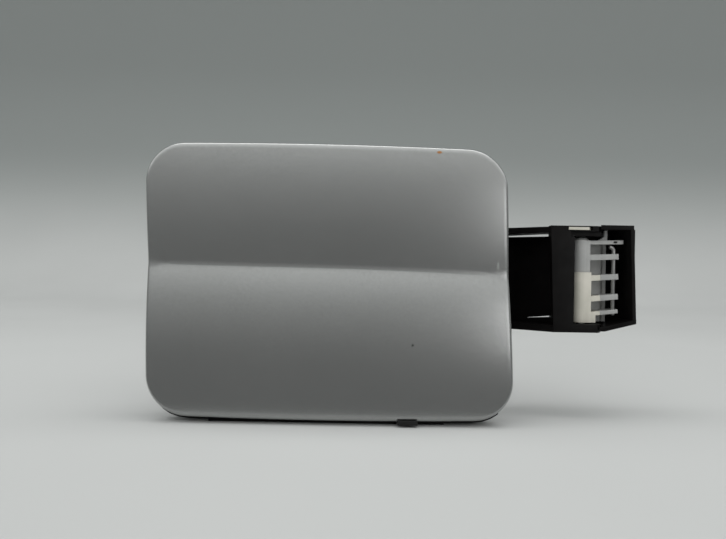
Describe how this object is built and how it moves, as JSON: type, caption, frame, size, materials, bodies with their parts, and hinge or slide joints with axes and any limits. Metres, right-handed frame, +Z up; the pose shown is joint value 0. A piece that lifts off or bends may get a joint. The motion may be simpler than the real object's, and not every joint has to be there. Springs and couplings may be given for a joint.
{
  "type": "car fuel door",
  "caption": "Painted car fuel door with a creased outer skin, a moulded inner carrier, a gooseneck hinge arm and an open-fronted hinge box.",
  "frame": {"origin": "middle of the two mounting holes, on the back face of the hinge box's flange", "axes": "+X from the door to the hinge, +Y into the car, +Z up; the painted face looks to -Y"},
  "size_m": [0.2718, 0.057, 0.1423],
  "materials": {
    "paint": "silver metallic with clear coat",
    "black_plastic": "fine grain",
    "foam": "matt",
    "steel": "zinc plated",
    "rubber": "matt",
    "grey_plastic": "smooth moulded",
    "cream_plastic": "smooth moulded",
    "spring_steel": "drawn wire"
  },
  "bodies": {
    "bracket": {"hinge_box": "black_plastic", "mount_sleeves": "steel", "hinge_comb": "grey_plastic", "comb_screws": "steel", "hinge_knuckle": "cream_plastic", "thrust_washers": "black_plastic", "detent_spring": "spring_steel"},
    "door": {"outer_skin": "paint", "inner_carrier": "black_plastic", "flutter_pads": "foam", "edge_clip": "rubber", "hinge_arm": "black_plastic", "arm_screws": "steel", "arm_washers": "steel", "hinge_pin": "steel", "pin_keeper": "cream_plastic", "latch_striker": "steel", "striker_screws": "steel", "bump_stops": "rubber", "cap_holder": "black_plastic", "holder_rivets": "black_plastic"}
  },
  "joints": [
    {"name": "door_hinge", "type": "hinge", "parent": "bracket", "child": "door", "pos_m": [-0.0335, -0.0237, 0], "axis": [0, 0, 1], "range_deg": [0, 78]}
  ]
}
